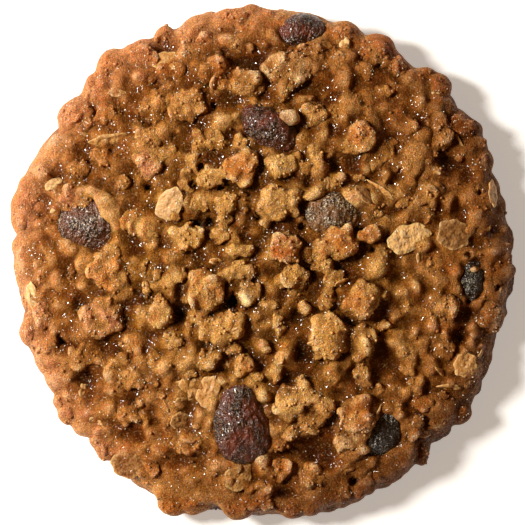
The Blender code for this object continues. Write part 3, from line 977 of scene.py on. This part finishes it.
def buildRaisin(name, one, seed):
    bm = bmesh.new()
    bmesh.ops.create_icosphere(bm, subdivisions=6, radius=1)
    half = one["half"]
    shift = Vector((seed * 3.3, seed * 1.7, 0))
    for vert in bm.verts:
        direction = vert.co.copy()
        skin = Vector([direction[axis] * half[axis] for axis in range(3)])
        outward = Vector([direction[axis] / half[axis] for axis in range(3)]).normalized()
        along = Vector([skin[axis] / raisinStyle["wrinkle"][axis] for axis in range(3)]) + shift
        across = Vector([skin[axis] / raisinStyle["crinkle"][axis] for axis in range(3)]) + shift
        wave = noise.noise_vector(skin / 4 + shift) * 0.8
        fold = abs(noise.noise(along + wave)) * 2.4
        push = raisinStyle["wrinkleDepth"] * min(fold, 1) - 0.15
        push += raisinStyle["crinkleDepth"] * noise.noise(across + wave)
        push += raisinStyle["lump"][1] * noise.noise(skin / raisinStyle["lump"][0] + shift)
        vert.co = skin + outward * push
        vert.co.x *= 1 - one.get("taper", 0) * direction.y
    x, y = one["place"]
    spin = Matrix.Rotation(math.radians(one["turn"]), 4, "Z")
    height = domeHeight(x, y) - one["sink"] - raisinStyle["deeper"]
    bm.transform(Matrix.Translation((x, y, height)) @ spin)
    return pieceFrom(name + "_skin", bm)


# rolled oat flakes: x, y, half width, half length, direction of the long side, tilt, tone
flakeRows = [
    (-16.6, 10.2, 2.2, 3.6, 60, 0, "pale"), (-17, 36, 2, 3.3, 0, 0, "gold"),
    (-37.3, 14, 1.2, 1.8, 30, 0, "cream"), (-37.5, 9.3, 0.5, 0.7, 20, 0, "cream"),
    (-27.5, 22, 1.1, 3.4, 12, 25, "gold"), (-26, 30.3, 0.7, 1.7, 0, 0, "tan"),
    (14.6, 39.3, 1, 1.4, 90, 0, "cream"), (11.5, 39, 0.9, 2, 0, 0, "gold"),
    (11.4, 14.2, 0.8, 1.1, 90, 0, "tan"), (18, 12, 1.1, 2.1, -45, 0, "tan"),
    (21, 13, 0.8, 2.8, -35, 30, "gold"), (26, 4.4, 2.5, 4.2, 20, 0, "bright"), (34, 4.8, 2.7, 3.3, 0, 0, "tan"),
    (41.3, 12.5, 1.2, 2.7, 90, 20, "cream"), (35, 22, 0.6, 2.3, -60, 60, "tan"),
    (-41.3, -6, 1, 2.4, 100, 0, "cream"), (-9.7, -23, 1.9, 3, 70, 0, "gold"),
    (-13.3, -22.5, 2, 2.3, 80, 0, "gold"), (36.3, -18.3, 2.1, 2.3, 60, 0, "gold"),
    (33, -22.3, 0.9, 2.3, 0, 20, "gold"), (39, -16.5, 0.8, 1.6, 60, 50, "tan"),
    (-24, -36.2, 2.5, 3.1, -20, 0, "brown"), (-14.7, -28.3, 1.7, 1.9, 0, 0, "tan"),
    (-4.3, -38, 2.4, 3, 60, 0, "gold"), (-30.5, -28, 0.6, 0.9, 40, 0, "cream"),
    (-12.3, -36.3, 0.5, 0.7, 0, 0, "cream"), (29, -30.7, 0.7, 1.3, 0, 0, "tan"),
    (-17.2, 14.2, 0.5, 0.9, 20, 0, "cream"), (31, 30.3, 0.5, 0.8, 0, 0, "cream"),
    (20.7, -27, 0.7, 2, 70, 30, "cream"),
]
flakeTones = {
    "pale": "#D8AE76",
    "gold": "#C69454",
    "cream": "#DEB880",
    "tan": "#AE7E46",
    "brown": "#9A6834",
    "bright": "#F8CC8C",
}
flakeStyle = {
    "thick": 0.36,              # half of a flake's thickness
    "sunk": 0.26,
    "wobble": 0.22,             # unevenness of the outline
    "clean": {"pale": (0.02, 0.1)},   # a flake that lies bare: its own sunk and wobble
    "crease": (0.16, 0.28),     # the groove along the middle: depth and width
    "ripple": (0.16, 1.2),      # depth and size
    "extras": 16,
    "extraSize": (0.9, 1.6),
    "extraSlim": 0.62,          # width as a share of the length
    "seed": 77,
}


class Ground:
    # the finished top surface, for laying things on it
    def __init__(self, pieces):
        self.trees = []
        for piece in pieces:
            points = [v.co.copy() for v in piece.data.vertices]
            self.trees.append(BVHTree.FromPolygons(points, [p.vertices[:] for p in piece.data.polygons]))

    def height(self, x, y):
        best = 0
        for tree in self.trees:
            hit = tree.ray_cast(Vector((x, y, 40)), Vector((0, 0, -1)))
            if hit[0] is not None:
                best = max(best, hit[0].z)
        return best


def layFlake(bm, ground, row, chance):
    # an oval with a crease, slightly cupped, lying on whatever is under it
    x, y, halfWide, halfLong, turn, tilt, tone = row
    sunk, wobble = flakeStyle["clean"].get(tone, (flakeStyle["sunk"], flakeStyle["wobble"]))
    along = Vector((math.cos(math.radians(turn)), math.sin(math.radians(turn)), 0))
    across = Vector((-along.y, along.x, 0))
    reach = 0.55   # the four points that it rests on are this far out
    ends, sides = (
        [ground.height(*(Vector((x, y, 0)) + way * half * reach * side)[:2]) for side in (-1, 1)]
        for way, half in ((along, halfLong), (across, halfWide)))
    height = max(ground.height(x, y), (sum(ends) + sum(sides)) / 4) - sunk
    pitch, roll = (
        np.clip(math.atan2(pair[1] - pair[0], 2 * half * reach), -0.5, 0.5)
        for pair, half in ((ends, halfLong), (sides, halfWide)))
    first = len(bm.verts)
    addBlob(bm, (0, 0, 0), (1, 1, 1), subdivisions=4)
    bm.verts.ensure_lookup_table()
    seed = Vector((chance.uniform(0, 90), 0, 0))
    turnAll = Matrix.Rotation(math.radians(turn), 4, "Z") @ Matrix.Rotation(-pitch, 4, "Y")
    turnAll = turnAll @ Matrix.Rotation(roll + math.radians(tilt), 4, "X")
    edgeLayer = bm.verts.layers.float.get("edge")
    tintLayer = bm.verts.layers.float_vector.get("tint")
    colour = Vector(linear(flakeTones[tone])[:3]) * chance.uniform(0.88, 1.1)
    creaseDepth, creaseWidth = flakeStyle["crease"]
    rippleDepth, rippleSize = flakeStyle["ripple"]
    for vert in bm.verts[first:]:
        unit = vert.co.copy()
        flat = math.hypot(unit.x, unit.y)
        outline = 1 + wobble * noise.noise(Vector((unit.x, unit.y, 0)) * 1.9 + seed)
        u = unit.x * halfLong * outline
        v = unit.y * halfWide * outline
        crease = -creaseDepth * math.exp(-(v / creaseWidth) ** 2) * (1 - flat ** 2)
        cup = 0.12 * flat ** 2 * halfWide * 0.5
        ripple = rippleDepth * noise.noise(Vector((u, v, 0)) / rippleSize + seed)
        thick = unit.z * flakeStyle["thick"] * (1 - 0.45 * flat ** 4)   # thinner towards the edge
        vert.co = turnAll @ Vector((u, v, thick + crease + cup + ripple)) + Vector((x, y, height))
        vert[edgeLayer] = flat
        vert[tintLayer] = colour


def buildFlakes(ground):
    bm = bmesh.new()
    bm.verts.layers.float.new("edge")
    bm.verts.layers.float_vector.new("tint")
    chance = random.Random(flakeStyle["seed"])
    for row in flakeRows:
        layFlake(bm, ground, row, chance)
    laid = 0
    while laid < flakeStyle["extras"]:   # half-buried ones between the clumps
        angle = chance.uniform(0, fullTurn)
        reach = 42 * math.sqrt(chance.random())
        x, y = reach * math.cos(angle), reach * math.sin(angle)
        size = chance.uniform(*flakeStyle["extraSize"])
        if overRaisin(x, y, 1):
            continue
        turn, tilt = chance.uniform(0, 180), chance.uniform(-35, 35)
        row = (x, y, size * flakeStyle["extraSlim"], size, turn, tilt, chance.choice(["tan", "gold"]))
        layFlake(bm, ground, row, chance)
        laid += 1
    return pieceFrom("oat_flakes", bm)


def cubeMesh():
    bm = bmesh.new()
    bmesh.ops.create_cube(bm, size=2)
    return meshFrom("grain", bm)


# loose things: "stand" is how far they stand out, "odds" are those of staying and what a crevice adds to them
crumbStyle = {
    "shape": balls[1], "count": 1500, "size": (0.16, 0.38), "stand": 0.1, "odds": (1, 0), "shade": (0.8, 1.2),
    "seed": 5,
}
sugarStyle = {
    "shape": cubeMesh(), "count": 2600, "size": (0.04, 0.1), "stand": 0.3, "odds": (0.45, 1), "shade": None,
    "seed": 6,
}


def scatterOn(name, pieces, style):
    # tiny copies of one shape, sat on random points of the top surface and tinted as it is there
    chance = random.Random(style["seed"])
    sources = []
    for piece in pieces:
        places, normals = readMesh(piece.data)
        colours = np.empty(len(places) * 4, dtype=np.float32)
        piece.data.attributes["tint"].data.foreach_get("color", colours)
        sunk = np.empty(len(places), dtype=np.float32)
        piece.data.attributes["crevice"].data.foreach_get("value", sunk)
        upward = np.nonzero((normals[:, 2] > 0.15) & (places[:, 2] > 3))[0]
        sources.append((places, normals, colours.reshape(-1, 4), sunk, upward))
    bm = bmesh.new()
    layer = bm.verts.layers.float_vector.new("tint")
    shades = []
    while len(shades) < style["count"]:
        places, normals, colours, sunk, upward = sources[chance.randrange(len(sources))]
        index = upward[chance.randrange(len(upward))]
        if chance.random() > style["odds"][0] + style["odds"][1] * sunk[index]:
            continue
        size = chance.uniform(*style["size"])
        spot = Vector(places[index]) + Vector(normals[index]) * size * style["stand"]
        turn = Euler([chance.uniform(0, 6) for _ in range(3)])
        stretch = Vector([chance.uniform(*limits) for limits in ((0.7, 1.3), (0.7, 1.3), (0.7, 1.2))]) * size
        grain = style["shape"].copy()
        grain.transform(Matrix.LocRotScale(spot, turn, stretch))
        bm.from_mesh(grain)
        bpy.data.meshes.remove(grain)
        # crumbs take the tint of their spot, painted light and shade included
        shades.append(colours[index][:3] * chance.uniform(*style["shade"]) if style["shade"] else (1, 1, 1))
    count = len(style["shape"].vertices)
    for index, vert in enumerate(bm.verts):
        vert[layer] = Vector(shades[index // count])
    return pieceFrom(name, bm)


print("clumps", round(time.time() - startTime, 1))
clumpRows = [pullIn(row) for row in clumpRows]
fillerRows = scatterFillers()
allRows = clumpRows + [row for row in fillerRows if row[2] > fillerStyle["clumpFrom"]]
quarters = {
    "oat_clumps_far_left": [row for row in allRows if row[0] < -1 and row[1] >= 1],
    "oat_clumps_far_right": [row for row in allRows if row[0] >= -1 and row[1] >= 1],
    "oat_clumps_near_left": [row for row in allRows if row[0] < -1 and row[1] < 1],
    "oat_clumps_near_right": [row for row in allRows if row[0] >= -1 and row[1] < 1],
}
clumps = [buildClumps(name, rows, seed) for seed, (name, rows) in enumerate(quarters.items())]
print("dough", round(time.time() - startTime, 1))
dough = buildDough(clumpRows, fillerRows)
tops = (dough, *clumps)
roughen(dough, roughness["dough"], 40)
for piece in clumps:
    roughen(piece, roughness["clumps"], 50)
for piece in tops:
    drawInEdge(piece)
    sinkHoles(piece)
print("flakes", round(time.time() - startTime, 1))
flakes = buildFlakes(Ground(tops))
print("colour", round(time.time() - startTime, 1))
relief = measureRelief(tops)
for piece, rows in zip(clumps, quarters.values()):
    tintPiece(piece, rows, relief, False)
tintPiece(dough, clumpRows + fillerRows, relief, True)
crumbs = scatterOn("crumbs", tops, crumbStyle)
sugar = scatterOn("sugar", tops, sugarStyle)
doughMaterial = bakedDoughMaterial()
for piece in clumps:
    finishPiece(piece, doughMaterial, "baked_dough")
finishPiece(dough, doughMaterial, "baked_dough", "dough")
finishPiece(flakes, oatMaterial(), "baked_dough")
finishPiece(crumbs, crumbMaterial(), "baked_dough")
finishPiece(sugar, sugarMaterial(), "baked_dough")

print("raisins", round(time.time() - startTime, 1))
skinMaterials = {kind: raisinMaterial("raisin skin, " + kind, style) for kind, style in skins.items()}
for seed, (name, one) in enumerate(raisins.items()):
    finishPiece(buildRaisin(name, one, seed), skinMaterials[one["skin"]], "raisin_skin", name)

print("floor, light and camera")
stage = {
    "floorHalf": 2,                # metres
    "floorDrop": 0.0001,          # just clear of the base
    "floorGlow": 0.4,             # lifts the floor to paper white
    "key": (-0.47, 0.13, 0.40),   # a low soft lamp at the far left
    "keySize": 0.18,
    "keyPower": 7.5,
    "worldStrength": 0.11,        # warm light that comes back from all round
    "frameWidth": 0.0945,         # metres across the picture at the edge's height
    "distance": 0.6,              # camera to the rim
    "rimHeight": 0.004,
    "sensor": 36,
}

bm = bmesh.new()
bmesh.ops.create_grid(bm, x_segments=1, y_segments=1, size=stage["floorHalf"])
floor = pieceFrom("floor", bm)
floorMaterial, _, floorShader = newMaterial("white paper sweep")
feed(floorShader, {
    "Base Color": linear("#F7F6F4"), "Roughness": 0.9,
    "Emission Color": linear("#FFFAF2"), "Emission Strength": stage["floorGlow"],
})
floor.data.materials.append(floorMaterial)
floor.location.z = -stage["floorDrop"]

key = bpy.data.lights.new("key", "AREA")
key.shape = "DISK"
key.size = stage["keySize"]
key.energy = stage["keyPower"]
key.color = linear("#FFFBF4")[:3]
lamp = bpy.data.objects.new("key", key)
lamp.location = stage["key"]
lamp.rotation_euler = (Vector((0, 0, 0.01)) - lamp.location).to_track_quat("-Z", "Y").to_euler()
bpy.context.scene.collection.objects.link(lamp)

world = bpy.data.worlds.new("studio")
bpy.context.scene.world = world
world.use_nodes = True
feed(world.node_tree.nodes["Background"], {"Color": linear("#FFB468"), "Strength": stage["worldStrength"]})

camera = bpy.data.cameras.new("camera")
camera.sensor_width = stage["sensor"]
camera.lens = stage["sensor"] * stage["distance"] / stage["frameWidth"]
camera.clip_start = 0.05
cameraObject = bpy.data.objects.new("camera", camera)
cameraObject.location = (0, 0, stage["distance"] + stage["rimHeight"])
bpy.context.scene.collection.objects.link(cameraObject)
bpy.context.scene.camera = cameraObject
bpy.context.scene.view_settings.view_transform = "Standard"

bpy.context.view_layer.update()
print("seconds", round(time.time() - startTime, 1))
